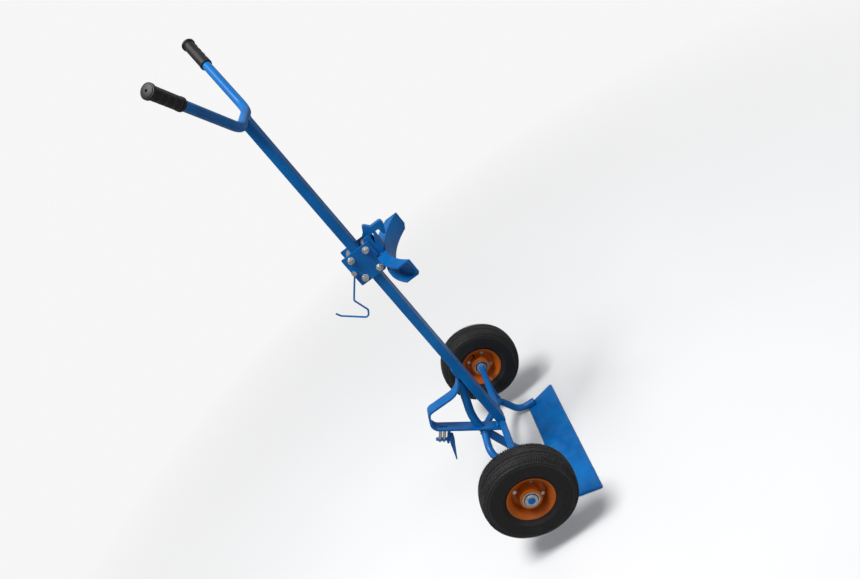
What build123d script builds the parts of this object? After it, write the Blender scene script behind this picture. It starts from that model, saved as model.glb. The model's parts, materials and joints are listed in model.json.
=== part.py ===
from build123d import *

import os
from math import cos, radians, sin, tan

# Two-wheeled drum dolly: a tall flat mast on a wheel axle, a V handlebar, a toe plate, a strap
# stirrup with a prop leg, and a carriage that slides on the mast with a drum cradle and two
# hooks.
#
# Units are millimetres. +Z is up along the mast, +Y points forward to the drum, +X is the
# operator's right hand. The shapes below are drawn with Y = 0 on the mast's front face. When they
# are saved they move back, so that the origin lies in the middle of the toe plate's underside.

# ---------------------------------------------------------------- driving dimensions
ORIGIN_Y = 80.0

MAST_WIDTH = 50.0
MAST_DEPTH = 25.0
MAST_WALL = 2.0
MAST_FOOT = 191.0

AXLE_RADIUS = 10.0
AXLE_Y = -14.0
AXLE_Z = 187.0
AXLE_END = 386.0

HANDLE_RADIUS = 12.5
HANDLE_WALL = 2.0
HANDLE_LEVEL = 1312.5
HANDLE_CORNER = (98.0, -12.5, HANDLE_LEVEL)
HANDLE_BEND = 80.0
HANDLE_END = (313.4, -60.3, 1510.7)
MAST_HEAD = HANDLE_LEVEL - 6.5
GRIP_LENGTH = 98.0
GRIP_WALL = 3.0
GRIP_CAP = 4.0
GRIP_RIDGES = 5

WHEEL_CENTRE = 344.5
TYRE_RADIUS = 130.0
HUB_BORE = 23.5
HUB_RADIUS = 27.0
HUB_HALF = 35.5
BEARING_WIDTH = 14.0
BEARING_BORE = AXLE_RADIUS + 0.05
INNER_RACE_RADIUS = 14.0
OUTER_RACE_BORE = 19.8
RIM_BOLT_CIRCLE = 37.5
RIM_BOLT_COUNT = 4
RIM_BOLT_TURN = 47.0

TOE_THICKNESS = 6.0
TOE_FRONT = (276.0, 134.0)
TOE_BACK = (243.0, 32.0)
TOE_TAB = (20.0, 24.0)

TUBE_WALL = 2.3
BACK_TUBE_RADIUS = 12.5
BACK_TUBE_PATH = [(0, -32, 374.3), (0, -85.6, 223.5), (0, -35.7, 59.8), (0, 34, 9.3)]
BACK_TUBE_BENDS = [180, 60]
LEG_RADIUS = 11.0
LEG_PATH = [(0, -72, 196), (56, -92, 150), (231, -27, 92), (231, 7.5, 16.9), (229, 62, 16.9)]
LEG_BENDS = [60, 24, 40]
STRUT_RADIUS = 9.0
STRUT_X = 231.0

STRAP_WIDTH = 40.0
STRAP_THICKNESS = 6.0
STRAP_PATH = [(-28, 425), (-28, 350), (-162, 350), (-189, 301), (-20, 161)]
STRAP_BENDS = [60, 16, 29]

PLATE_INNER = 26.5
PLATE_OUTER = 31.5
CARRIAGE_LOW = 797.0
CARRIAGE_HIGH = 887.0
GUIDE_RADIUS = 11.2
GUIDE_GAP = 0.3
GUIDE_FRONT_Y = GUIDE_RADIUS + GUIDE_GAP
GUIDE_BACK_Y = -MAST_DEPTH - GUIDE_RADIUS - GUIDE_GAP
GUIDE_SPOTS = [(y, z) for y in (GUIDE_FRONT_Y, GUIDE_BACK_Y) for z in (811.0, 872.0)]
BOLT_RADIUS = 5.0
WASHER_THICKNESS = 1.8

DRUM_CENTRE_Y = 349.0
CRADLE_INNER = 298.0
CRADLE_OUTER = 329.0
CRADLE_LOW = 784.0
CRADLE_HIGH = 836.0
CRADLE_SHEET = 5.0
CRADLE_HALF = 175.0
CRADLE_CORNER = 11.0
CRADLE_REACH = 200.0

HOOK_PIVOT = (33.5, 880.0)
HOOK_PIN_RADIUS = 4.0
HOOK_HALF = 8.0
CHEEK_INNER = 20.5

WIRE_RADIUS = 2.5
WIRE_PIVOT = (-50.0, 840.5)
WIRE_X = 37.0
WIRE_BOLT_RADIUS = 3.0

STAND_BOLTS = (30.0, 42.0)
STAND_BOLT_RADIUS = 3.0
STAND_PIVOT = (62.0, 34.0)
STAND_PIN_RADIUS = 3.0
STAND_POST_HALF = 4.5

RUNNING_GAP = 0.05
SIDES = (("right", 1), ("left", -1))

# ---------------------------------------------------------------- shared helpers


def bent_line(points, radii):
    """Draw straight runs joined by round bends into the line builder that is open."""
    spots = [Vector(*point) for point in points]
    start = spots[0]
    for before, corner, after, radius in zip(spots, spots[1:], spots[2:], radii):
        into = (corner - before).normalized()
        out = (after - corner).normalized()
        turn = radians(into.get_angle(out))
        setback = radius * tan(turn / 2)
        enter = corner - into * setback
        leave = corner + out * setback
        inward = (out - into).normalized()
        middle = corner + inward * (radius / cos(turn / 2) - radius)
        Line(start, enter)
        ThreePointArc(enter, middle, leave)
        start = leave
    Line(start, spots[-1])


def bent_tube(points, radii, outside, wall=0.0):
    """A round tube along a bent path, or a solid rod when no wall is given."""
    with BuildPart() as tube:
        with BuildLine() as path:
            bent_line(points, radii)
        with BuildSketch(path.line ^ 0):
            Circle(outside)
            if wall > 0:
                Circle(outside - wall, mode=Mode.SUBTRACT)
        sweep(path=path.line)
    return tube.part


def cross_plane(x):
    """Side-view plane at one X, with sketch axes along +Y and +Z."""
    return Plane.YZ.offset(x)


def rods_across(spots, x_from, x_to, radius, bore=0.0):
    """Round rods or rings along X, one at each (Y, Z) spot."""
    with BuildPart() as rods:
        with BuildSketch(cross_plane(x_from)):
            with Locations(*spots):
                Circle(radius)
                if bore > 0:
                    Circle(bore, mode=Mode.SUBTRACT)
        extrude(amount=x_to - x_from)
    return rods.part


def hexes_across(spots, x_from, x_to, flats, bore=0.0):
    """Hexagonal heads or nuts along X, one at each (Y, Z) spot."""
    with BuildPart() as hexes:
        with BuildSketch(cross_plane(x_from)):
            with Locations(*spots):
                RegularPolygon(flats / 2, 6, major_radius=False)
                if bore > 0:
                    Circle(bore, mode=Mode.SUBTRACT)
        extrude(amount=x_to - x_from)
    return hexes.part


def side_plate(points, x_from, x_to, corner=0.0):
    """A plate cut to a side-view outline of (Y, Z) points, with all its corners rounded."""
    with BuildPart() as plate:
        with BuildSketch(cross_plane(x_from)) as outline:
            with BuildLine():
                Polyline(*points, close=True)
            make_face()
            if corner > 0:
                fillet(outline.vertices(), corner)
        extrude(amount=x_to - x_from)
    return plate.part


def joined(*solids):
    """Several touching, overlapping or separate solids as one part."""
    with BuildPart() as whole:
        for solid in solids:
            add(solid)
    return whole.part


def without(solid, *cutters):
    """One part with the room taken by others cut away, as the end of a coped tube is."""
    with BuildPart() as rest:
        add(solid)
        for cutter in cutters:
            add(cutter, mode=Mode.SUBTRACT)
    return rest.part


def largest(solid):
    """The biggest piece left after a cut, without the offcuts."""
    with BuildPart() as kept:
        add(solid.solids().sort_by(SortBy.VOLUME)[-1])
    return kept.part


def block(x_span, y_span, z_span):
    """A plain block between two limits along each axis."""
    middle = [(low + high) / 2 for low, high in (x_span, y_span, z_span)]
    sizes = [high - low for low, high in (x_span, y_span, z_span)]
    with BuildPart() as cube:
        with Locations(tuple(middle)):
            Box(*sizes)
    return cube.part


def save(part, name):
    """Write one named subcomponent in the frame of the toe plate's underside."""
    moved = Pos(0, -ORIGIN_Y, 0) * part
    moved.label = name
    export_step(moved, f"parts/{name}.step")


# ---------------------------------------------------------------- mast, axle and toe plate


def mast():
    """Flat rectangular tube from the axle up to the handlebar."""
    with BuildPart() as tube:
        with BuildSketch(Plane.XY.offset(MAST_FOOT)):
            with Locations((0, -MAST_DEPTH / 2)):
                RectangleRounded(MAST_WIDTH, MAST_DEPTH, 3)
                RectangleRounded(MAST_WIDTH - 2 * MAST_WALL, MAST_DEPTH - 2 * MAST_WALL, 1,
                                 mode=Mode.SUBTRACT)
        extrude(amount=MAST_HEAD - MAST_FOOT)
    return tube.part


def axle():
    """Solid bar through both wheels, with a chamfer at each end."""
    with BuildPart() as bar:
        with BuildSketch(cross_plane(-AXLE_END)):
            with Locations((AXLE_Y, AXLE_Z)):
                Circle(AXLE_RADIUS)
        extrude(amount=2 * AXLE_END)
        chamfer(bar.edges().filter_by(GeomType.CIRCLE), 1)
    return bar.part


def axle_rings(near, far, radius, bore):
    """Two rings around the axle, the same distance out on both sides."""
    spot = [(AXLE_Y, AXLE_Z)]
    return joined(*[rods_across(spot, side * near, side * far, radius, bore)
                    for _, side in SIDES])


def toe_plate():
    """Flat steel toe that slides under the drum, with a small tab behind for the back tube."""
    back_x, back_y = TOE_BACK
    tab_x, tab_y = TOE_TAB
    half = [TOE_FRONT, TOE_BACK, (tab_x + back_y - tab_y, back_y), TOE_TAB]
    outline = half + [(-x, y) for x, y in reversed(half)]
    with BuildPart() as plate:
        with BuildSketch(Plane.XY) as shape:
            with BuildLine():
                Polyline(*outline, close=True)
            make_face()
            fillet(shape.vertices(), 5)
        extrude(amount=TOE_THICKNESS)
        front_edges = plate.edges().filter_by(Axis.X).group_by(Axis.Y)[-1]
        chamfer(front_edges.sort_by(Axis.Z)[-1], 4)
    return plate.part


def leg(side, wall=0.0):
    """Bent tube from the back tube out behind one wheel and forward onto the toe plate."""
    path = [(side * x, y, z) for x, y, z in LEG_PATH]
    return bent_tube(path, LEG_BENDS, LEG_RADIUS, wall)


def strut(side):
    """Short upright tube that ties the axle to the bend of one leg."""
    x = side * STRUT_X
    top = (x, AXLE_Y, AXLE_Z)
    middle = (x, AXLE_Y - 8, AXLE_Z - 45)
    bottom = (x, AXLE_Y - 13, AXLE_Z - 95)
    return bent_tube([top, middle, bottom], [200], STRUT_RADIUS, 2)


# ---------------------------------------------------------------- stirrup


def stirrup_strap():
    """Flat strap bent into a loop behind the mast."""
    with BuildPart() as strap:
        with BuildSketch(Plane.YZ.offset(-STRAP_WIDTH / 2)):
            with BuildLine() as middle:
                bent_line([(y, z, 0) for y, z in STRAP_PATH], STRAP_BENDS)
            trace(middle.line, line_width=STRAP_THICKNESS)
        extrude(amount=STRAP_WIDTH)
    return strap.part


def stirrup_lug():
    """Gusset between the front end of the strap and the axle."""
    return side_plate([(AXLE_Y, AXLE_Z), (-42, 178), (-20, 161), (-8, 170)], -12, 12)


# ---------------------------------------------------------------- handlebar and grips


def handlebar():
    """One tube bent to a flat-bottomed V."""
    half = [HANDLE_END, HANDLE_CORNER]
    points = half + [(-x, y, z) for x, y, z in reversed(half)]
    return bent_tube(points, [HANDLE_BEND, HANDLE_BEND], HANDLE_RADIUS, HANDLE_WALL)


def arm_plane(side, back_from_end):
    """Plane square to one handle arm, some way back from the open end of the tube."""
    tip = Vector(side * HANDLE_END[0], HANDLE_END[1], HANDLE_END[2])
    bend = Vector(side * HANDLE_CORNER[0], HANDLE_CORNER[1], HANDLE_CORNER[2])
    along = (tip - bend).normalized()
    forward = Vector(0, 1, 0)
    across = (forward - along * forward.dot(along)).normalized()
    return Plane(origin=tip - along * back_from_end, x_dir=across, z_dir=along)


def grip(side):
    """Moulded sleeve with finger ridges, an end collar and a closed end."""
    outside = HANDLE_RADIUS + GRIP_WALL
    ridge_pitch = 15.0
    ridge_width = 8.0
    with BuildPart() as sleeve:
        with BuildSketch(arm_plane(side, GRIP_LENGTH)):
            Circle(outside)
        extrude(amount=GRIP_LENGTH + GRIP_CAP)
        with BuildSketch(arm_plane(side, 5)):
            Circle(outside + 3)
        extrude(amount=6)
        for index in range(GRIP_RIDGES):
            with BuildSketch(arm_plane(side, 26 + ridge_pitch * index)):
                Circle(outside + 1.2)
            extrude(amount=ridge_width)
        fillet(sleeve.edges().filter_by(GeomType.CIRCLE), 0.5)
        with BuildSketch(arm_plane(side, GRIP_LENGTH)):
            Circle(HANDLE_RADIUS)
        extrude(amount=GRIP_LENGTH, mode=Mode.SUBTRACT)
        with BuildSketch(arm_plane(side, 0)):
            Circle(2.5)
        extrude(amount=GRIP_CAP, mode=Mode.SUBTRACT)
    return sleeve.part


# ---------------------------------------------------------------- wheels


def wheel_plane(side):
    """Half-section plane: sketch X runs out along the axle, sketch Y is the radius."""
    return Plane(origin=(side * WHEEL_CENTRE, AXLE_Y, AXLE_Z), x_dir=(side, 0, 0),
                 z_dir=(0, -side, 0))


def wheel_axis():
    """Turning axis of both wheels."""
    return Axis((0, AXLE_Y, AXLE_Z), (1, 0, 0))


def mirrored(points):
    """The same half-section points on the other face of the wheel, in reverse order."""
    return [(-along, radius) for along, radius in reversed(points)]


def tyre(side):
    """Square-shouldered pneumatic tyre with four grooves round its crown."""
    bead = [(19, 53.2), (20.3, 53.2), (27.3, 59.5), (30.8, 63.4), (32.2, 65.8)]
    wall = [bead[-1], (39.5, 78), (42, 95), (39.5, 113), (34, 126)]
    cavity = [bead[0], (26, 70), (34, 86), (34, 101), (27, 115)]
    with BuildPart() as ring:
        with BuildSketch(wheel_plane(side)):
            with BuildLine():
                Polyline(*bead)
                Spline(*wall)
                ThreePointArc(wall[-1], (0, TYRE_RADIUS), (-wall[-1][0], wall[-1][1]))
                Spline(*mirrored(wall))
                Polyline(*mirrored(bead))
                Spline(*cavity, (0, 122), *mirrored(cavity))
            make_face()
            with Locations((-21, TYRE_RADIUS), (-8, TYRE_RADIUS), (8, TYRE_RADIUS),
                           (21, TYRE_RADIUS)):
                Rectangle(3, 8, mode=Mode.SUBTRACT)
        revolve(axis=wheel_axis())
    return ring.part


def inner_tube(side):
    """Air tube inside the tyre."""
    with BuildPart() as ring:
        with BuildSketch(wheel_plane(side)):
            with Locations((0, 90)):
                Ellipse(29, 26)
                Ellipse(27.2, 24.2, mode=Mode.SUBTRACT)
        revolve(axis=wheel_axis())
    return ring.part


def rim_half(side, face):
    """One pressed rim half: hub collar, raised cone, bolted ring, well and wide flange."""
    section = [(35.5, HUB_RADIUS), (35.5, 29.2), (33, 29.2), (8, 31), (2.2, 31.8), (2.2, 43.4),
               (4.6, 46.2), (19, 49), (22.5, 50.8), (29, 56.8), (33.3, 61.5), (34.5, 65),
               (32.4, 65.4), (31, 62.9), (27.6, 58.9), (20.6, 52.6), (17.6, 51.2), (3, 48.4),
               (0, 45.5), (0, 29.6), (7, 28.8), (30, HUB_RADIUS)]
    with BuildPart() as dish:
        with BuildSketch(wheel_plane(side)):
            with BuildLine():
                Polyline(*[(face * along, radius) for along, radius in section], close=True)
            make_face()
        revolve(axis=wheel_axis())
    return dish.part


def wheel_rings(side, spans):
    """Plain turned rings of one wheel: each span is middle, width, bore and outer radius."""
    with BuildPart() as rings:
        with BuildSketch(wheel_plane(side)):
            for middle, width, bore, radius in spans:
                with Locations((middle, (bore + radius) / 2)):
                    Rectangle(width, radius - bore)
        revolve(axis=wheel_axis())
    return rings.part


def hub_tube(side):
    """Steel tube that holds the two bearings."""
    return wheel_rings(side, [(0, 2 * HUB_HALF, HUB_BORE, HUB_RADIUS)])


def bearing_races(side):
    """Inner and outer races of the two ball bearings."""
    middle = HUB_HALF - BEARING_WIDTH / 2
    spans = []
    for spot in (-middle, middle):
        spans.append((spot, BEARING_WIDTH, BEARING_BORE, INNER_RACE_RADIUS))
        spans.append((spot, BEARING_WIDTH, OUTER_RACE_BORE, HUB_BORE))
    return wheel_rings(side, spans)


def bearing_seals(side):
    """Rubber seals that close the gap between the races of both bearings."""
    middle = HUB_HALF - BEARING_WIDTH / 2
    return wheel_rings(side, [(spot, BEARING_WIDTH - 1.6, INNER_RACE_RADIUS, OUTER_RACE_BORE)
                              for spot in (-middle, middle)])


def spacer_sleeve(side):
    """Sleeve that keeps the inner races apart."""
    length = 2 * (HUB_HALF - BEARING_WIDTH)
    return wheel_rings(side, [(0, length, BEARING_BORE, INNER_RACE_RADIUS - 0.6)])


def rim_bolt_spots():
    """Centres of the rim bolts in the side view."""
    angles = [radians(RIM_BOLT_TURN + 360 / RIM_BOLT_COUNT * index)
              for index in range(RIM_BOLT_COUNT)]
    return [(AXLE_Y + RIM_BOLT_CIRCLE * cos(angle), AXLE_Z + RIM_BOLT_CIRCLE * sin(angle))
            for angle in angles]


def rim_bolts(side):
    """Hexagon bolts that clamp the two rim halves, heads outside."""
    centre = side * WHEEL_CENTRE
    spots = rim_bolt_spots()
    shanks = rods_across(spots, centre - side * 8.5, centre + side * 2.2, 3)
    heads = hexes_across(spots, centre + side * 2.2, centre + side * 6.4, 10)
    return joined(shanks, heads)


def rim_nuts(side):
    """Nuts on the inner side of the rim bolts."""
    centre = side * WHEEL_CENTRE
    return hexes_across(rim_bolt_spots(), centre - side * 7, centre - side * 2.2, 10, 3)


def valve(side):
    """Bent valve stem that leaves the air tube through the inner rim half."""
    stem = [(-12, 68), (-12, 43.5), (-31, 40)]
    return bent_tube([(side * (WHEEL_CENTRE + along), AXLE_Y, AXLE_Z + radius)
                      for along, radius in stem], [6], 3)


# ---------------------------------------------------------------- sliding carriage


def carriage_plate(side):
    """Side plate with a raised front shoulder that carries the hook housing."""
    points = [(-57, CARRIAGE_LOW), (22, CARRIAGE_LOW), (22, 839), (31, 845),
              (31, CARRIAGE_HIGH), (-57, CARRIAGE_HIGH)]
    return side_plate(points, side * PLATE_INNER, side * PLATE_OUTER, 3)


def carriage_bolts():
    """Four long bolts right across the carriage, heads on the left."""
    shanks = rods_across(GUIDE_SPOTS, -PLATE_OUTER, PLATE_OUTER + 13, BOLT_RADIUS)
    heads = hexes_across(GUIDE_SPOTS, -PLATE_OUTER - 6.4, -PLATE_OUTER, 16)
    return joined(shanks, heads)


def carriage_nuts():
    """Lock nuts with a rounded collar on top."""
    seat = PLATE_OUTER + WASHER_THICKNESS
    body = hexes_across(GUIDE_SPOTS, seat, seat + 6.4, 16, BOLT_RADIUS)
    collar = rods_across(GUIDE_SPOTS, seat + 6.4, seat + 9, 7, BOLT_RADIUS)
    return joined(body, collar)


def carriage_washers():
    """Washers under the four nuts."""
    return rods_across(GUIDE_SPOTS, PLATE_OUTER, PLATE_OUTER + WASHER_THICKNESS, 10,
                       BOLT_RADIUS)


def guide_spacers():
    """Four sleeves between the side plates, two in front of the mast and two behind it."""
    return rods_across(GUIDE_SPOTS, -PLATE_INNER, PLATE_INNER, GUIDE_RADIUS, BOLT_RADIUS)


def hook_housing():
    """Two cheeks and a floor with a fixed jaw across their front."""
    base = CRADLE_HIGH
    cheek = [(23.5, base), (42, base), (42, 897), (27, 897), (19, 891), (23.5, 880)]
    jaw = [(39, base), (43, base), (52, 846), (54, 884), (50, 886), (39, 862)]
    floor = [(23.5, base), (42, base), (42, base + 6), (23.5, base + 6)]
    cheeks = [side_plate(cheek, side * CHEEK_INNER, side * PLATE_INNER, 1.2)
              for _, side in SIDES]
    return joined(*cheeks, side_plate(jaw, -PLATE_INNER, PLATE_INNER, 1),
                  side_plate(floor, -PLATE_INNER, PLATE_INNER))


def cradle():
    """Curved channel: a web that follows the drum and two flanges that point away from it."""
    inner = DRUM_CENTRE_Y - CRADLE_INNER
    outer = DRUM_CENTRE_Y - CRADLE_OUTER
    web = inner - CRADLE_SHEET
    top = CRADLE_HIGH - CRADLE_SHEET
    bottom = CRADLE_LOW + CRADLE_SHEET
    end = CRADLE_HALF - CRADLE_CORNER
    low_corner = CRADLE_LOW + CRADLE_CORNER
    with BuildPart() as channel:
        with BuildSketch(Plane.YZ):
            with BuildLine():
                Polyline((inner, CRADLE_LOW), (inner, CRADLE_HIGH), (outer, CRADLE_HIGH),
                         (outer, top), (web, top), (web, bottom), (outer, bottom),
                         (outer, CRADLE_LOW), close=True)
            make_face()
        revolve(axis=Axis((0, DRUM_CENTRE_Y, 0), (0, 0, 1)))
        with BuildSketch(Plane.XZ):
            with BuildLine():
                Polyline((-CRADLE_HALF, CRADLE_HIGH), (-CRADLE_HALF, low_corner),
                         (-end, CRADLE_LOW), (end, CRADLE_LOW), (CRADLE_HALF, low_corner),
                         (CRADLE_HALF, CRADLE_HIGH), close=True)
            make_face()
        extrude(amount=-CRADLE_REACH, mode=Mode.INTERSECT)
    return channel.part


# ---------------------------------------------------------------- hooks on the carriage


def beak_hook():
    """Beak that reaches over the drum's top rim, with a finger tab behind."""
    points = [(26.5, 872.5), (40.5, 872.5), (41, 888.5), (68, 889), (72, 869), (77, 868),
              (88, 891), (88, 903), (82, 906), (56, 906), (44, 920), (38, 919), (24, 893)]
    blade = side_plate(points, -HOOK_HALF, HOOK_HALF, 1.2)
    hole = rods_across([HOOK_PIVOT], -HOOK_HALF, HOOK_HALF, HOOK_PIN_RADIUS + RUNNING_GAP)
    return without(blade, hole)


def hook_pin():
    """Pin through both cheeks, with a collar on each side of the beak."""
    pin = rods_across([HOOK_PIVOT], -PLATE_INNER, PLATE_INNER, HOOK_PIN_RADIUS)
    collars = [rods_across([HOOK_PIVOT], side * (HOOK_HALF + 0.3), side * CHEEK_INNER, 7)
               for _, side in SIDES]
    return joined(pin, *collars)


def wire_hook():
    """Bent round wire with an eye around its bolt and an open hook at the bottom."""
    pivot_y, pivot_z = WIRE_PIVOT
    eye_radius = WIRE_BOLT_RADIUS + RUNNING_GAP + WIRE_RADIUS
    tail = [(-54.5, 834), (-99, 780), (-86.5, 735), (-99, 716), (-153, 766), (-160, 780)]
    with BuildPart() as eye:
        with BuildSketch(Plane(origin=(WIRE_X, pivot_y + eye_radius, pivot_z))):
            Circle(WIRE_RADIUS)
        revolve(axis=Axis((WIRE_X, pivot_y, pivot_z), (1, 0, 0)))
    return joined(eye.part, bent_tube([(WIRE_X, y, z) for y, z in tail], [9, 8, 9, 8],
                                      WIRE_RADIUS))


def wire_bolt():
    """Shouldered bolt that carries the wire hook."""
    shank = rods_across([WIRE_PIVOT], PLATE_INNER - 7, WIRE_X + 3, WIRE_BOLT_RADIUS)
    collar = rods_across([WIRE_PIVOT], PLATE_OUTER, WIRE_X - 3, 5)
    head = rods_across([WIRE_PIVOT], WIRE_X + 3, WIRE_X + 6, 6.5)
    return joined(shank, collar, head)


def wire_nut():
    """Nut inside the plate."""
    return hexes_across([WIRE_PIVOT], PLATE_INNER - 5, PLATE_INNER, 10, WIRE_BOLT_RADIUS)


# ---------------------------------------------------------------- prop under the stirrup


def strap_spot(along, below):
    """(Y, Z) of a spot measured along the lower strap and square down from its middle."""
    start = Vector(0, *STRAP_PATH[-2])
    end = Vector(0, *STRAP_PATH[-1])
    direction = (end - start).normalized()
    down = Vector(0, direction.Z, -direction.Y)
    spot = start + direction * along + down * below
    return spot.Y, spot.Z


def strap_side_plate(points, x_from, x_to, corner=0.0):
    """A side plate whose outline is given along and below the lower strap."""
    return side_plate([strap_spot(*point) for point in points], x_from, x_to, corner)


def strap_rods(below_from, below_to, radius, bore=0.0, sides=0):
    """Round or hexagonal rods square to the lower strap at both bolt spots."""
    with BuildPart() as rods:
        for along in STAND_BOLTS:
            start = Vector(0, *strap_spot(along, below_from))
            end = Vector(0, *strap_spot(along, below_to))
            with BuildSketch(Plane(origin=start, x_dir=(1, 0, 0), z_dir=end - start)):
                if sides:
                    RegularPolygon(radius, sides, major_radius=False)
                else:
                    Circle(radius)
                if bore > 0:
                    Circle(bore, mode=Mode.SUBTRACT)
            extrude(amount=below_to - below_from)
    return rods.part


def stand_bracket():
    """Post below the strap with a pivot lug in front and a bolted bar behind."""
    half = STAND_POST_HALF
    post = strap_side_plate([(51, 3), (59, 3), (59, 26), (66, 28), (67.5, 37), (59, 43),
                             (58.5, 54), (55, 57), (51.5, 54)], -half, half)
    bar = strap_side_plate([(18, 40.5), (52, 40.5), (52, 45), (18, 45)], -6, 6)
    hole = rods_across([strap_spot(*STAND_PIVOT)], -half, half, STAND_PIN_RADIUS)
    return without(joined(post, bar), hole, strap_rods(38, 48, STAND_BOLT_RADIUS))


def stand_bolts():
    """Two bolts down through the strap and the bar, round heads on the strap."""
    shanks = strap_rods(-3, 52, STAND_BOLT_RADIUS)
    heads = strap_rods(-6.5, -3, 5.4)
    return joined(shanks, heads)


def stand_pin():
    """Riveted pin through the post and both cheeks of the prop leg."""
    spot = [strap_spot(*STAND_PIVOT)]
    shank = rods_across(spot, -8, 8, STAND_PIN_RADIUS)
    heads = [rods_across(spot, side * 8, side * 10, 5) for _, side in SIDES]
    return joined(shank, *heads)


def prop_leg():
    """Pointed channel-shaped leg that stands on the ground when the dolly is leaned back."""
    cheek = [(57, 28), (62, 25), (69, 27), (72, 38), (86, 111), (83.5, 113), (60, 52)]
    web = [(70, 46), (72.8, 46), (85, 108), (82.5, 108)]
    cheeks = [strap_side_plate(cheek, side * 4.8, side * 7.6, 0.8) for _, side in SIDES]
    hole = rods_across([strap_spot(*STAND_PIVOT)], -8, 8, STAND_PIN_RADIUS + RUNNING_GAP)
    return without(joined(*cheeks, strap_side_plate(web, -4.8, 4.8)), hole)


# ---------------------------------------------------------------- build and export

os.makedirs("parts", exist_ok=True)

axle_blank = axle()
axle_clips = axle_rings(382.5, 383.9, 13, 9)
axle_bar = without(axle_blank, axle_clips)
toe = toe_plate()
handle_fill = rods_across([(HANDLE_CORNER[1], HANDLE_LEVEL)], -60, 60, HANDLE_RADIUS)
mast_fill = block((-MAST_WIDTH / 2, MAST_WIDTH / 2), (-MAST_DEPTH, 0), (MAST_FOOT, MAST_HEAD))

strap = stirrup_strap()
strap_top = without(strap, block((-30, 30), (-220, 0), (100, 345)))
tube_front = block((-30, 30), (26, 60), (-20, 60))
tube_below = block((-30, 30), (-100, 60), (-20, 0))
back_cutters = [mast_fill, strap_top, toe, tube_front, tube_below]
back_fill = largest(without(bent_tube(BACK_TUBE_PATH, BACK_TUBE_BENDS, BACK_TUBE_RADIUS),
                            *back_cutters))
back_tube = largest(without(bent_tube(BACK_TUBE_PATH, BACK_TUBE_BENDS, BACK_TUBE_RADIUS,
                                      TUBE_WALL), *back_cutters))
stirrup = without(strap, back_fill, strap_rods(-3, 3, STAND_BOLT_RADIUS))

save(without(mast(), axle_blank, handle_fill), "spine_tube")
save(handlebar(), "handlebar")
save(axle_bar, "axle_bar")
save(axle_clips, "axle_circlips")
save(axle_rings(380.2, 382.4, 17.8, AXLE_RADIUS), "axle_washers")
save(axle_rings(302, 308.8, 16, AXLE_RADIUS), "axle_collars")
save(toe, "toe_plate")
save(back_tube, "back_tube")
save(stirrup, "foot_stirrup")
save(without(stirrup_lug(), axle_blank, strap), "stirrup_lug")

struts = []
for name, side in SIDES:
    centre_gap = block((-0.5, 40) if side < 0 else (-40, 0.5), (-140, 0), (100, 240))
    cutters = [back_fill, strap, toe, centre_gap]
    save(largest(without(leg(side, TUBE_WALL), *cutters)), f"leg_{name}")
    struts.append(largest(without(strut(side), axle_blank, leg(side))))
    save(grip(side), f"grip_{name}")
save(joined(*struts), "axle_struts")

save(stand_bracket(), "stand_bracket")
save(stand_bolts(), "stand_bolts")
save(strap_rods(3, 40.5, 5, STAND_BOLT_RADIUS), "stand_sleeves")
save(strap_rods(45, 49.5, 4.6, STAND_BOLT_RADIUS, 6), "stand_nuts")
save(stand_pin(), "stand_pin")
save(prop_leg(), "prop_leg")

for name, side in SIDES:
    stem = valve(side)
    bolts = rim_bolts(side)
    save(tyre(side), f"tyre_{name}")
    save(inner_tube(side), f"inner_tube_{name}")
    save(without(rim_half(side, 1), bolts), f"rim_outer_{name}")
    save(without(rim_half(side, -1), bolts, stem), f"rim_inner_{name}")
    save(hub_tube(side), f"hub_tube_{name}")
    save(bearing_races(side), f"bearing_races_{name}")
    save(bearing_seals(side), f"bearing_seals_{name}")
    save(spacer_sleeve(side), f"spacer_sleeve_{name}")
    save(bolts, f"rim_bolts_{name}")
    save(rim_nuts(side), f"rim_nuts_{name}")
    save(largest(without(stem, inner_tube(side))), f"valve_{name}")

bolts_room = rods_across(GUIDE_SPOTS, -60, 60, BOLT_RADIUS)
bolt_hole = rods_across([WIRE_PIVOT], PLATE_INNER, PLATE_OUTER, WIRE_BOLT_RADIUS)
plate_right = without(carriage_plate(1), bolts_room, bolt_hole)
plate_left = without(carriage_plate(-1), bolts_room)
save(plate_right, "carriage_plate_right")
save(plate_left, "carriage_plate_left")
save(carriage_bolts(), "carriage_bolts")
save(carriage_nuts(), "carriage_nuts")
save(carriage_washers(), "carriage_washers")
save(guide_spacers(), "guide_spacers")
save(without(cradle(), plate_right, plate_left), "cradle_channel")
save(without(hook_housing(), rods_across([HOOK_PIVOT], -60, 60, HOOK_PIN_RADIUS)),
     "hook_housing")
save(hook_pin(), "hook_pin")
save(beak_hook(), "beak_hook")
save(wire_bolt(), "wire_bolt")
save(wire_nut(), "wire_nut")
save(wire_hook(), "wire_hook")
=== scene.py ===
"""Looks for the drum dolly: powder coat, rubber, zinc, treaded tyres, moulded grips and welds.

Lengths are metres in the same frame as the solid parts. Sizes written as n * MM are millimetres.
"""
import json
import math
import random

import bmesh
import bpy
from mathutils import Matrix, Vector


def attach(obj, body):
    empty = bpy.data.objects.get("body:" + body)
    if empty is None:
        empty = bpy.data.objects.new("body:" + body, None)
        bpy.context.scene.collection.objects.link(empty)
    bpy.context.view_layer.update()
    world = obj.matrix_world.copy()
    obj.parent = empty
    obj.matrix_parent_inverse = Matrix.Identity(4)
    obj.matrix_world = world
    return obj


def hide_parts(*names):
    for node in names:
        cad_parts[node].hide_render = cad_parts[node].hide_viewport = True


MM = 0.001
MAST_FACE_Y = -0.08
AXLE_Y = MAST_FACE_Y - 0.014
AXLE_Z = 0.187
WHEEL_X = 0.3445
SIDES = (("right", 1), ("left", -1))

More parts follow.
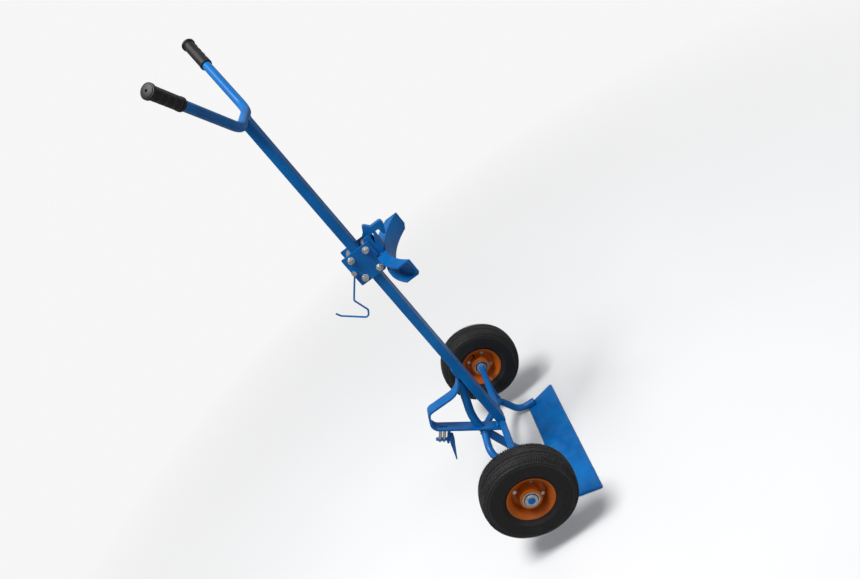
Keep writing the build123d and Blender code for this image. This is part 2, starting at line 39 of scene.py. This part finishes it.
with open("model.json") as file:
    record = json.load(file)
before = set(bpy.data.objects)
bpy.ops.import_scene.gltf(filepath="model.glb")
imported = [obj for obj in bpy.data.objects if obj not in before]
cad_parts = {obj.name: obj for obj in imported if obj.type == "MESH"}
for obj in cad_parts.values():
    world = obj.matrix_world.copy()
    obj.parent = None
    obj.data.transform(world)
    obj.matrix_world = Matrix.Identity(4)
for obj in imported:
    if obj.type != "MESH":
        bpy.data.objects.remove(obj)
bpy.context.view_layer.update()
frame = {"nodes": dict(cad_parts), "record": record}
nodes = frame["nodes"]
random.seed(7)

# ---------------------------------------------------------------- material helpers


class Graph:
    """Short names for building one material's node tree."""

    def __init__(self, name):
        self.material = bpy.data.materials.new(name)
        self.material.use_nodes = True
        self.tree = self.material.node_tree
        self.shader = self.tree.nodes["Principled BSDF"]
        coords = self.tree.nodes.new("ShaderNodeTexCoord")
        self.place = coords.outputs["Object"]

    def node(self, kind, **settings):
        made = self.tree.nodes.new(kind)
        for key, value in settings.items():
            setattr(made, key, value)
        return made

    def link(self, source, target):
        self.tree.links.new(source, target)

    def noise(self, scale, detail=4.0, rough=0.55, stretch=(1, 1, 1)):
        mapping = self.node("ShaderNodeMapping")
        mapping.inputs["Scale"].default_value = stretch
        self.link(self.place, mapping.inputs["Vector"])
        made = self.node("ShaderNodeTexNoise")
        made.inputs["Scale"].default_value = scale
        made.inputs["Detail"].default_value = detail
        made.inputs["Roughness"].default_value = rough
        self.link(mapping.outputs["Vector"], made.inputs["Vector"])
        return made.outputs["Fac"]

    def ramp(self, value, stops):
        made = self.node("ShaderNodeValToRGB")
        ramp = made.color_ramp
        while len(ramp.elements) < len(stops):
            ramp.elements.new(0.5)
        for element, (at, colour) in zip(ramp.elements, stops):
            element.position = at
            element.color = (*colour, 1) if len(colour) == 3 else colour
        self.link(value, made.inputs["Fac"])
        return made.outputs["Color"]

    def span(self, value, low, high, to_low=0.0, to_high=1.0):
        made = self.node("ShaderNodeMapRange")
        for key, number in (("From Min", low), ("From Max", high),
                            ("To Min", to_low), ("To Max", to_high)):
            made.inputs[key].default_value = number
        self.link(value, made.inputs["Value"])
        return made.outputs["Result"]

    def mix(self, amount, first, second):
        made = self.node("ShaderNodeMix", data_type="RGBA")
        self.link(amount, made.inputs[0])
        for socket, colour in ((made.inputs[6], first), (made.inputs[7], second)):
            if isinstance(colour, tuple):
                socket.default_value = (*colour, 1)
            else:
                self.link(colour, socket)
        return made.outputs[2]

    def maths(self, operation, first, second):
        made = self.node("ShaderNodeMath", operation=operation)
        for socket, value in zip(made.inputs, (first, second)):
            if isinstance(value, (int, float)):
                socket.default_value = value
            else:
                self.link(value, socket)
        return made.outputs[0]

    def bump(self, *layers):
        """Stack bumps: each layer is a height, its strength and its depth in metres."""
        normal = None
        for height, strength, depth in layers:
            made = self.node("ShaderNodeBump")
            made.inputs["Strength"].default_value = strength
            made.inputs["Distance"].default_value = depth
            self.link(height, made.inputs["Height"])
            if normal is not None:
                self.link(normal, made.inputs["Normal"])
            normal = made.outputs["Normal"]
        self.link(normal, self.shader.inputs["Normal"])

    def edges(self, radius):
        """Bright where the surface turns over a corner."""
        bevel = self.node("ShaderNodeBevel", samples=4)
        bevel.inputs["Radius"].default_value = radius
        geometry = self.node("ShaderNodeNewGeometry")
        dot = self.node("ShaderNodeVectorMath", operation="DOT_PRODUCT")
        self.link(bevel.outputs["Normal"], dot.inputs[0])
        self.link(geometry.outputs["Normal"], dot.inputs[1])
        return self.span(dot.outputs["Value"], 0.97, 0.8)

    def upward(self):
        """Bright where the surface looks up."""
        geometry = self.node("ShaderNodeNewGeometry")
        split = self.node("ShaderNodeSeparateXYZ")
        self.link(geometry.outputs["Normal"], split.inputs[0])
        return self.span(split.outputs["Z"], 0.2, 1.0)

    def set(self, **inputs):
        for key, value in inputs.items():
            socket = self.shader.inputs[key.replace("_", " ")]
            if isinstance(value, (int, float, tuple)):
                socket.default_value = value
            else:
                self.link(value, socket)


def paint(name, dark, base, light, primer):
    """Glossy coat with faint orange peel, dust on top faces and chips along the corners."""
    g = Graph(name)
    cloud = g.noise(9.0, 5)
    colour = g.ramp(cloud, [(0.3, dark), (0.5, base), (0.75, light)])
    dust = g.maths("MULTIPLY", g.upward(), g.span(g.noise(38, 6, 0.7), 0.45, 0.75, 0, 0.05))
    colour = g.mix(dust, colour, (0.42, 0.4, 0.36))
    chips = g.maths("MULTIPLY", g.edges(0.0012), g.span(g.noise(210, 5, 0.7), 0.54, 0.6))
    scuffs = g.span(g.noise(60, 8, 0.8, (1, 1, 0.12)), 0.72, 0.75, 0, 0.22)
    wear = g.maths("MAXIMUM", chips, scuffs)
    g.set(Base_Color=g.mix(wear, colour, primer))
    rough = g.span(g.noise(24, 4), 0.3, 0.7, 0.26, 0.4)
    g.set(Roughness=g.maths("ADD", rough, g.maths("MULTIPLY", wear, 0.25)))
    g.set(Specular_IOR_Level=0.3, Coat_Weight=0.06, Coat_Roughness=0.1)
    g.bump((g.noise(420, 2), 0.12, 0.0004), (g.noise(30, 3), 0.06, 0.0012))
    return g.material


def zinc(name, tint, dull):
    """Plated steel with blotchy passivation and fine scratches."""
    g = Graph(name)
    bloom = g.noise(75, 6, 0.65)
    colour = g.ramp(bloom, [(0.3, tuple(0.62 * part for part in tint)), (0.55, tint),
                            (0.8, tuple(min(1, 1.18 * part) for part in tint))])
    grime = g.span(g.noise(28, 6, 0.75), 0.56, 0.7, 0, 0.45)
    g.set(Base_Color=g.mix(grime, colour, (0.12, 0.105, 0.09)), Metallic=0.95)
    g.set(Roughness=g.span(bloom, 0.3, 0.75, dull - 0.08, dull + 0.14))
    g.bump((g.noise(640, 3), 0.16, 0.0003), (g.noise(160, 2, 0.5, (1, 8, 8)), 0.1, 0.0003))
    return g.material


def rubber(name, base, dusty, rough, grain, edge_scuff_and_highlight=0.0):
    """Dark rubber with pale dust in its clouds, corners lightened as rubbed wear and as a painted
    highlight, and a fine moulded grain.
    """
    g = Graph(name)
    cloud = g.noise(16, 7, 0.7)
    colour = g.ramp(cloud, [(0.35, tuple(0.7 * part for part in base)), (0.55, base),
                            (0.72, dusty)])
    dust = g.span(g.noise(90, 6, 0.75), 0.5, 0.72, 0, 0.35)
    colour = g.mix(dust, colour, dusty)
    if edge_scuff_and_highlight:
        # Corners lightened towards pale grey: partly rubbed wear, partly a painted highlight that picks out
        # the tread blocks.
        rubbed_and_highlit = g.maths("MULTIPLY", g.edges(0.0011), edge_scuff_and_highlight)
        colour = g.mix(rubbed_and_highlit, colour, (0.2, 0.2, 0.19))
    g.set(Base_Color=colour)
    g.set(Roughness=g.span(cloud, 0.3, 0.7, rough, rough + 0.16), Specular_IOR_Level=0.35)
    g.bump((g.noise(grain, 3), 0.3, 0.0005), (g.noise(45, 4), 0.12, 0.001))
    return g.material


MATERIALS = {
    "blue_paint": paint("blue powder coat", (0.0, 0.1, 0.34), (0.0, 0.14, 0.45),
                        (0.0, 0.185, 0.55), (0.07, 0.07, 0.07)),
    "orange_paint": paint("orange rim paint", (0.36, 0.07, 0.003), (0.5, 0.105, 0.004),
                          (0.6, 0.14, 0.008), (0.2, 0.1, 0.06)),
    "zinc": zinc("zinc plate", (0.78, 0.77, 0.74), 0.3),
    "bearing_steel": zinc("bearing steel", (0.66, 0.67, 0.69), 0.24),
    # The tyre's last number lightens its corners: rubbed wear and a painted highlight on the tread.
    "tyre_rubber": rubber("tyre rubber", (0.011, 0.011, 0.012), (0.028, 0.027, 0.025), 0.5, 520,
                          0.55),
    "tube_rubber": rubber("butyl rubber", (0.03, 0.03, 0.032), (0.07, 0.07, 0.07), 0.55, 300),
    "seal_rubber": rubber("seal rubber", (0.012, 0.012, 0.013), (0.04, 0.04, 0.04), 0.4, 700),
    "grip_rubber": rubber("grip rubber", (0.012, 0.012, 0.013), (0.03, 0.03, 0.03), 0.42, 900),
}


def weld_paint():
    """The same blue over a rippled bead, a shade deeper in the valleys."""
    g = Graph("painted weld")
    g.set(Base_Color=g.ramp(g.noise(140, 4), [(0.3, (0.0, 0.085, 0.24)),
                                              (0.7, (0.0, 0.16, 0.43))]))
    g.set(Roughness=g.span(g.noise(60, 3), 0.3, 0.7, 0.22, 0.4), Coat_Weight=0.3)
    g.bump((g.noise(380, 3), 0.3, 0.0006))
    return g.material


WELD = weld_paint()

# ---------------------------------------------------------------- dress the solid parts

slot_of = {part["node"]: part["material_slot"] for part in frame["record"]["subparts"]}
# Width of the rounded edge, and the solid parts that get it.
SOFT_EDGE = {
    0.8 * MM: ("toe_plate", "foot_stirrup", "cradle_channel", "carriage_plate_right",
               "carriage_plate_left", "hook_housing", "beak_hook"),
    0.4 * MM: ("stand_bracket", "prop_leg", "stirrup_lug", "rim_outer_right", "rim_outer_left",
               "rim_inner_right", "rim_inner_left", "carriage_nuts", "carriage_bolts",
               "carriage_washers", "rim_bolts_right", "rim_bolts_left", "rim_nuts_right",
               "rim_nuts_left", "axle_collars", "axle_washers", "stand_nuts", "stand_bolts",
               "stand_pin", "wire_bolt", "wire_nut", "axle_circlips"),
}
EDGE_ANGLE = math.radians(32)
EDGE_STEPS = 2
SAME_SPOT = 1e-6


def dress(node, slot_name):
    """Give one CAD node its material and, where it has hard corners, a small rounded edge."""
    target = nodes[node]
    target.data.materials.clear()
    target.data.materials.append(MATERIALS[slot_name])
    for width, names in SOFT_EDGE.items():
        if node in names:
            weld = target.modifiers.new("weld", "WELD")
            weld.merge_threshold = SAME_SPOT
            bevel = target.modifiers.new("soft edge", "BEVEL")
            bevel.width = width
            bevel.segments = EDGE_STEPS
            bevel.limit_method = "ANGLE"
            bevel.angle_limit = EDGE_ANGLE
            bevel.harden_normals = False


for node_name, slot_name in slot_of.items():
    dress(node_name, slot_name)

# ---------------------------------------------------------------- mesh helpers


def new_piece(name, mesh, body, material, smooth_angle=35):
    """A finished object that rides on one body and takes one material."""
    made = bpy.data.objects.new(name, mesh)
    bpy.context.collection.objects.link(made)
    mesh.materials.append(material)
    mesh.shade_smooth()
    mesh.set_sharp_from_angle(angle=math.radians(smooth_angle))
    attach(made, body)
    return made


def ring_mesh(name, rings, closed_ends=True):
    """Skin a list of equal rings of points; the last ring joins the first when ends are open."""
    bm = bmesh.new()
    rows = [[bm.verts.new(point) for point in ring] for ring in rings]
    pairs = list(zip(rows, rows[1:]))
    if not closed_ends:
        pairs.append((rows[-1], rows[0]))
    for first, second in pairs:
        count = len(first)
        for index in range(count):
            after = (index + 1) % count
            bm.faces.new((first[index], first[after], second[after], second[index]))
    if closed_ends:
        bm.faces.new(list(reversed(rows[0])))
        bm.faces.new(rows[-1])
    bmesh.ops.recalc_face_normals(bm, faces=bm.faces)
    mesh = bpy.data.meshes.new(name)
    bm.to_mesh(mesh)
    bm.free()
    return mesh


# ---------------------------------------------------------------- tyres

TREAD_BLOCKS = 120
# Where one block and the gap behind it start and end, as shares of the pitch; 1 is sunk.
BLOCK_STEPS = ((0.0, 0), (0.5, 0), (0.58, 1), (0.92, 1))
SHOULDER_RADIUS = 124
SHOULDER_NARROWING = 0.5
# Half section of the tyre from the middle of the crown to the bead: distance along the axle,
# radius, and how far the gap between two tread blocks sinks there, in millimetres.
CROWN = [(0, 129.8, 0), (6.3, 129.7, 0), (6.6, 126.2, 0), (9.4, 126.2, 0), (9.7, 129.5, 2.6),
         (19.3, 128.6, 2.6), (19.6, 125.6, 0), (22.4, 125.3, 0), (22.7, 128.2, 3.4),
         (33.2, 125.9, 3.6), (35.8, 122.8, 3.6), (37.6, 118.6, 1.8)]
WALL = [(38.4, 117.6, 0), (39.6, 117.2, 0), (40.3, 114.6, 0), (40.6, 113.4, 1.4),
        (41.0, 110.6, 1.4), (41.0, 109.4, 0), (41.5, 102, 0), (41.8, 95, 0), (41.2, 87, 0), (40.2, 80.5, 0),
        (40.4, 79.4, 0), (38.6, 76.2, 0), (37.0, 74.8, 0), (35.2, 71, 0), (33.0, 67, 0),
        (32.2, 65.8, 0), (30.8, 63.4, 0), (27.3, 59.5, 0), (20.3, 53.2, 0), (19, 53.2, 0)]
CAVITY = [(26, 70, 0), (34, 86, 0), (34, 101, 0), (27, 115, 0), (12, 121, 0)]


def tyre_section():
    """Closed section of the tyre as (along, radius, sink)."""
    half = CROWN + WALL + CAVITY
    other = [(-along, radius, sink) for along, radius, sink in reversed(half[1:])]
    return half + other


def tyre_ring(section, centre_x, angle, sunk):
    """One ring of the tyre: the section turned to an angle, at block height or in a gap."""
    points = []
    for along, radius, sink in section:
        reach = (radius - sink * sunk) * MM
        narrowing = SHOULDER_NARROWING * sink * sunk if radius < SHOULDER_RADIUS else 0
        inward = math.copysign(narrowing, -along) * MM
        points.append((centre_x + along * MM + inward,
                       AXLE_Y + reach * math.cos(angle),
                       AXLE_Z + reach * math.sin(angle)))
    return points


def build_tyre(name, side):
    section = tyre_section()
    rings = []
    for index in range(TREAD_BLOCKS):
        for part, sunk in BLOCK_STEPS:
            angle = 2 * math.pi * (index + part) / TREAD_BLOCKS
            rings.append(tyre_ring(section, side * WHEEL_X, angle, sunk))
    mesh = ring_mesh(f"tyre_tread_{name}", rings, closed_ends=False)
    piece = new_piece(f"tyre_tread_{name}", mesh, f"wheel_{name}", MATERIALS["tyre_rubber"],
                      28)
    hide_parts(f"tyre_{name}")


# ---------------------------------------------------------------- grips

GRIP_TIP = Vector((0.3134, MAST_FACE_Y - 0.0603, 1.5107))
HANDLE_BEND = Vector((0.098, MAST_FACE_Y - 0.0125, 1.3125))
GRIP_LENGTH = 98.0
GRIP_SPOKES = 64
GRIP_RADIUS = 15.3
FINGERS = 4
FINGER_START = 8
FINGER_END = 88
FINGER_HEIGHT = 2.6
RIB_PITCH = 1.6
RIB_HEIGHT = 0.35
RIDGE_HEIGHT = 0.7
BODY_STEP = 0.8
BODY_END = 91.5
# Plain turned ends of the grip as (distance from its inner end, radius), in millimetres.
GRIP_MOUTH = [(0.0, 12.6), (0.0, 14.6)]
GRIP_FLANGE = [(92.0, 15.4), (92.4, 17.9), (93.2, 18.4), (98.0, 18.4), (99.0, 17.8)]
GRIP_CAP = [(99.4, 16.2), (100.6, 15.6), (101.8, 13.0), (102.0, 3.0)]
GRIP_BORE = [(100.5, 2.6), (98.2, 2.5), (98.1, 12.5)]


def grip_radius(distance, turn):
    """Outer radius in millimetres at a distance from the inner end; turn 0 is the underside."""
    radius = GRIP_RADIUS
    under = max(0.0, math.cos(turn)) ** 1.5
    if FINGER_START < distance < FINGER_END:
        share = (distance - FINGER_START) / (FINGER_END - FINGER_START)
        wave = 0.5 - 0.5 * math.cos(2 * math.pi * FINGERS * share)
        rib = RIB_HEIGHT if int(distance / RIB_PITCH) % 2 else 0.0
        radius += FINGER_HEIGHT * under * wave + rib * (1 - under)
    if math.cos(turn) < -0.93 and 10 < distance < 84:
        radius += RIDGE_HEIGHT
    if distance <= FINGER_START:
        radius += 1.2 if distance > 1 else 0.4
    return radius


def grip_profiles():
    """One list of (distance, radius) round the grip for each ring, mouth first and bore last."""
    turns = [2 * math.pi * spoke / GRIP_SPOKES for spoke in range(GRIP_SPOKES)]
    profiles = [[spot] * GRIP_SPOKES for spot in GRIP_MOUTH]
    distance = BODY_STEP
    while distance < BODY_END:
        profiles.append([(distance, grip_radius(distance, turn)) for turn in turns])
        distance += BODY_STEP
    profiles += [[spot] * GRIP_SPOKES for spot in GRIP_FLANGE + GRIP_CAP + GRIP_BORE]
    return turns, profiles


def build_grip(name, side):
    """Moulded hand grip: bore over the tube, ribbed body, finger bumps, flange and cap."""
    tip = Vector((side * GRIP_TIP.x, GRIP_TIP.y, GRIP_TIP.z))
    bend = Vector((side * HANDLE_BEND.x, HANDLE_BEND.y, HANDLE_BEND.z))
    along = (tip - bend).normalized()
    below = Vector((0, 0.45, -1))
    below = (below - along * below.dot(along)).normalized()
    across = along.cross(below)
    start = tip - along * GRIP_LENGTH * MM
    turns, profiles = grip_profiles()
    rings = []
    for profile in profiles:
        ring = []
        for turn, (distance, radius) in zip(turns, profile):
            direction = below * math.cos(turn) + across * math.sin(turn)
            ring.append(start + along * distance * MM + direction * radius * MM)
        rings.append(ring)
    mesh = ring_mesh(f"moulded_grip_{name}", rings, closed_ends=False)
    piece = new_piece(f"moulded_grip_{name}", mesh, "frame", MATERIALS["grip_rubber"],
                      30)
    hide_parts(f"grip_{name}")


# ---------------------------------------------------------------- welds


WELD_SPOKES = 8
WELD_STEP = 0.7
RIPPLE_PITCH = 2.6
RIPPLE_HEIGHT = 0.16
RIPPLE_SCATTER = 0.05
END_TAPER = 0.45


def fine_path(path, closed):
    """The weld path in metres, cut into short steps. Y = 0 of the path is the mast's front."""
    face = Vector((0, MAST_FACE_Y, 0))
    spots = [face + Vector(point) * MM for point in path]
    if closed:
        spots.append(spots[0])
    fine = []
    for first, second in zip(spots, spots[1:]):
        steps = max(2, int((second - first).length / (WELD_STEP * MM)))
        fine += [first.lerp(second, step / steps) for step in range(steps)]
    if not closed:
        fine.append(spots[-1])
    return fine


def build_weld(name, path, radius, body="frame", closed=False):
    """A rippled bead along a path: overlapping coins of metal, as a stick weld leaves."""
    fine = fine_path(path, closed)
    last = len(fine) - 1
    turns = [2 * math.pi * spoke / WELD_SPOKES for spoke in range(WELD_SPOKES)]
    rings = []
    travel = 0.0
    for index, spot in enumerate(fine):
        before = fine[index - 1] if index or closed else spot
        after = fine[(index + 1) % len(fine)] if index < last or closed else spot
        heading = (after - before).normalized()
        travel += (spot - before).length if index else 0.0
        side = heading.cross(Vector((0.31, 0.52, 0.8))).normalized()
        other = heading.cross(side)
        wave = math.sin(2 * math.pi * travel / (RIPPLE_PITCH * MM))
        ripple = 1 + RIPPLE_HEIGHT * wave + random.uniform(-RIPPLE_SCATTER, RIPPLE_SCATTER)
        taper = END_TAPER if not closed and index in (0, last) else 1.0
        reach = radius * MM * ripple * taper
        rings.append([spot + (side * math.cos(turn) + other * math.sin(turn)) * reach
                      for turn in turns])
    mesh = ring_mesh(name, rings, closed_ends=not closed)
    new_piece(name, mesh, body, WELD, 60)


def circle_path(centre, axis, radius, start=0.0, sweep=360.0, steps=40):
    """Points round an axis; start is in degrees from the side nearest +Z, or +X if upright."""
    axis = Vector(axis).normalized()
    guide = Vector((0, 0, 1)) if abs(axis.z) < 0.8 else Vector((1, 0, 0))
    first = (guide - axis * guide.dot(axis)).normalized()
    second = axis.cross(first)
    count = steps if sweep >= 360 else steps + 1
    points = []
    for index in range(count):
        angle = math.radians(start + sweep * index / steps)
        points.append(Vector(centre) + (first * math.cos(angle)
                                        + second * math.sin(angle)) * radius)
    return points


# Seams of the frame, in millimetres, with Y = 0 on the mast's front face.
HEAD_SEAM_Z = 1305.6
STRAP_TOP = (425, -28)
LEG_ROOT = Vector((0, -72, 196))
LEG_BEND = Vector((56, -92, 150))
LEG_FOOT_X = 229.6
STRUT_X = 231
LUG_X = 12
AXLE_LINE = ((AXLE_Y - MAST_FACE_Y) / MM, AXLE_Z / MM)
CRADLE_TOP = 836.6
BACK_TUBE_TOP = 394
BACK_TUBE_RADIUS = 12.5
BACK_TUBE_SLANT = 37


def mast_welds():
    """Beads at both ends of the mast and where the strap meets its back."""
    for name, y in (("front", -1.2), ("back", -23.8)):
        build_weld(f"weld_mast_head_{name}", [(-22, y, HEAD_SEAM_Z), (22, y, HEAD_SEAM_Z)], 2.6)
    build_weld("weld_mast_foot_front", [(-24, -2.6, 190.8), (24, -2.6, 190.8)], 2.6)
    build_weld("weld_mast_foot_back", [(-24, -24.4, 190.2), (24, -24.4, 190.2)], 2.4)
    top, back = STRAP_TOP
    build_weld("weld_strap_top", [(-19, back, top), (19, back, top)], 2.6)


def leg_welds(name, side):
    """Beads at the root and foot of one leg, and at both ends of its strut."""
    heading = (Vector((side * LEG_BEND.x, LEG_BEND.y, LEG_BEND.z)) - LEG_ROOT).normalized()
    root = circle_path(LEG_ROOT + heading * 15.5, heading, 10.9, steps=60)
    build_weld(f"weld_leg_root_{name}", root, 2.2, closed=True)
    build_weld(f"weld_strut_top_{name}",
               circle_path((side * STRUT_X, -15.4, 177.6), (0, -0.17, -1), 8.8), 2.0, closed=True)
    build_weld(f"weld_strut_foot_{name}",
               circle_path((side * STRUT_X, -26.0, 103), (0, -0.1, -1), 8.8), 2.0, closed=True)
    for edge in (-1, 1):
        x = side * LEG_FOOT_X + edge * 5.2
        place = "in" if edge * side < 0 else "out"
        build_weld(f"weld_leg_foot_{name}_{place}", [(x, 34, 7.4), (x, 60, 7.4)], 2.0)


def lug_and_carriage_welds(name, side):
    """Beads on one side of the stirrup lug, the hook housing and the cradle."""
    lug = side * LUG_X
    build_weld(f"weld_lug_{name}", [(lug, -38, 176.5), (lug, -20.5, 162.3)], 1.7)
    build_weld(f"weld_lug_axle_{name}",
               circle_path((lug, *AXLE_LINE), (1, 0, 0), 10, 100, 95, 20), 1.7)
    cheek = side * 26.2
    build_weld(f"weld_cheek_{name}", [(cheek, 24, CRADLE_TOP), (cheek, 42, CRADLE_TOP)],
               1.7, "carriage")
    build_weld(f"weld_plate_{name}", [(side * 30, 21.9, 832), (side * 30, 21.9, 799)],
               1.5, "carriage")


def back_tube_welds():
    """Beads round the foot of the back tube and below its top on the mast."""
    build_weld("weld_back_tube_foot", [(-11, 18, 8.5), (-10, 24, 7), (-4, 25.4, 6.6),
                                       (4, 25.4, 6.6), (10, 24, 7), (11, 18, 8.5)], 2.0)
    turns = [math.radians(degrees) for degrees in range(-72, 73, 8)]
    build_weld("weld_back_tube_top",
               [(BACK_TUBE_RADIUS * math.sin(turn), -25.6,
                 BACK_TUBE_TOP - BACK_TUBE_SLANT * math.cos(turn)) for turn in turns], 2.1)


def build_welds():
    """Every joint that is welded on the real frame."""
    mast_welds()
    for name, side in SIDES:
        build_weld(f"weld_strap_edge_{name}",
                   [(side * 20, -26.5, 422), (side * 20, -26.5, 396)], 2.2)
        leg_welds(name, side)
        lug_and_carriage_welds(name, side)
    back_tube_welds()
    build_weld("weld_jaw", [(-20, 43, CRADLE_TOP), (20, 43, CRADLE_TOP)], 1.7, "carriage")


for wheel_name, wheel_side in SIDES:
    build_tyre(wheel_name, wheel_side)
    build_grip(wheel_name, wheel_side)
build_welds()

# ---------------------------------------------------------------- floor, light and camera


FLOOR_HALF = 60.0
FLOOR_DROP = 0.0015
PALE = 0.925
BOUNCE = 0.3
SHADOW_REACH = 2.6


def floor():
    """Wide pale floor that fades into the backdrop and throws only a little light back up."""
    mesh = bpy.data.meshes.new("floor")
    bm = bmesh.new()
    bmesh.ops.create_grid(bm, x_segments=1, y_segments=1, size=FLOOR_HALF)
    bm.to_mesh(mesh)
    bm.free()
    made = bpy.data.objects.new("floor", mesh)
    made.location.z = -FLOOR_DROP
    bpy.context.collection.objects.link(made)
    g = Graph("pale floor")
    pale = g.ramp(g.noise(0.8, 5), [(0.3, (0.87, 0.87, 0.87)), (0.7, (0.9, 0.9, 0.9))])
    seen = g.node("ShaderNodeLightPath").outputs["Is Camera Ray"]
    g.set(Base_Color=g.mix(seen, (BOUNCE, BOUNCE, BOUNCE), pale))
    g.set(Roughness=g.span(g.noise(3, 4), 0.3, 0.7, 0.75, 0.9), Specular_IOR_Level=0.05)
    distance = g.node("ShaderNodeVectorMath", operation="LENGTH")
    g.link(g.place, distance.inputs[0])
    far = g.span(distance.outputs["Value"], SHADOW_REACH * 0.3, SHADOW_REACH)
    glow = g.node("ShaderNodeEmission")
    glow.inputs["Color"].default_value = (PALE, PALE, PALE, 1)
    blend = g.node("ShaderNodeMixShader")
    g.link(g.maths("MULTIPLY", far, seen), blend.inputs[0])
    g.link(g.shader.outputs[0], blend.inputs[1])
    g.link(glow.outputs[0], blend.inputs[2])
    g.link(blend.outputs[0], g.tree.nodes["Material Output"].inputs["Surface"])
    mesh.materials.append(g.material)


def area_light(name, spot, target, size, power):
    """One square softbox aimed at a point."""
    data = bpy.data.lights.new(name, "AREA")
    data.size = size
    data.energy = power
    made = bpy.data.objects.new(name, data)
    made.location = spot
    made.rotation_mode = "QUATERNION"
    made.rotation_quaternion = (Vector(target) - Vector(spot)).to_track_quat("-Z", "Y")
    bpy.context.collection.objects.link(made)


SKY_STRENGTH = 0.3
LIGHT_TARGET = (0, 0, 0.75)
# Name, place, size and power of each softbox.
SOFTBOXES = (("key", (0.9, -0.6, 4.4), 1.5, 165), ("fill_front", (-2.4, 3.0, 2.2), 2.4, 22),
             ("fill_side", (3.4, 1.6, 1.4), 2.0, 14))


def studio():
    """Pale backdrop with one soft key light above and two weak fills."""
    world = bpy.data.worlds.new("studio")
    bpy.context.scene.world = world
    world.use_nodes = True
    tree = world.node_tree
    back = tree.nodes["Background"]
    back.inputs["Color"].default_value = (0.93, 0.95, 1.0, 1)
    back.inputs["Strength"].default_value = SKY_STRENGTH
    seen = tree.nodes.new("ShaderNodeBackground")
    seen.inputs["Color"].default_value = (PALE, PALE, PALE, 1)
    path = tree.nodes.new("ShaderNodeLightPath")
    blend = tree.nodes.new("ShaderNodeMixShader")
    tree.links.new(path.outputs["Is Camera Ray"], blend.inputs[0])
    tree.links.new(back.outputs[0], blend.inputs[1])
    tree.links.new(seen.outputs[0], blend.inputs[2])
    tree.links.new(blend.outputs[0], tree.nodes["World Output"].inputs["Surface"])
    for name, spot, size, power in SOFTBOXES:
        area_light(name, spot, LIGHT_TARGET, size, power)


FOCAL_PIXELS = 844.32
PICTURE_WIDTH = 860
PICTURE_HEIGHT = 579
PRINCIPAL = (439.09, 289.83)
CAMERA_SPOT = (2.070106, MAST_FACE_Y + 0.410176, 1.582466)
CAMERA_RIGHT = (0.1393083, 0.8016802, -0.5812934)
CAMERA_DOWN = (0.4093291, -0.581138, -0.7033693)
CAMERA_FORWARD = (-0.9016889, -0.1399552, -0.4091084)


def camera():
    """The camera that took the reference view, in the dolly's own frame."""
    data = bpy.data.cameras.new("camera")
    data.sensor_width = 36
    data.lens = FOCAL_PIXELS * data.sensor_width / PICTURE_WIDTH
    data.shift_x = (PICTURE_WIDTH / 2 - PRINCIPAL[0]) / PICTURE_WIDTH
    data.shift_y = (PRINCIPAL[1] - PICTURE_HEIGHT / 2) / PICTURE_WIDTH
    data.clip_end = 200
    made = bpy.data.objects.new("camera", data)
    bpy.context.collection.objects.link(made)
    right = Vector(CAMERA_RIGHT)
    up = -Vector(CAMERA_DOWN)
    back = -Vector(CAMERA_FORWARD)
    turn = Matrix((right, up, back)).transposed().to_4x4()
    made.matrix_world = Matrix.Translation(CAMERA_SPOT) @ turn
    bpy.context.scene.camera = made


floor()
studio()
camera()
bpy.context.scene.view_settings.view_transform = "Standard"
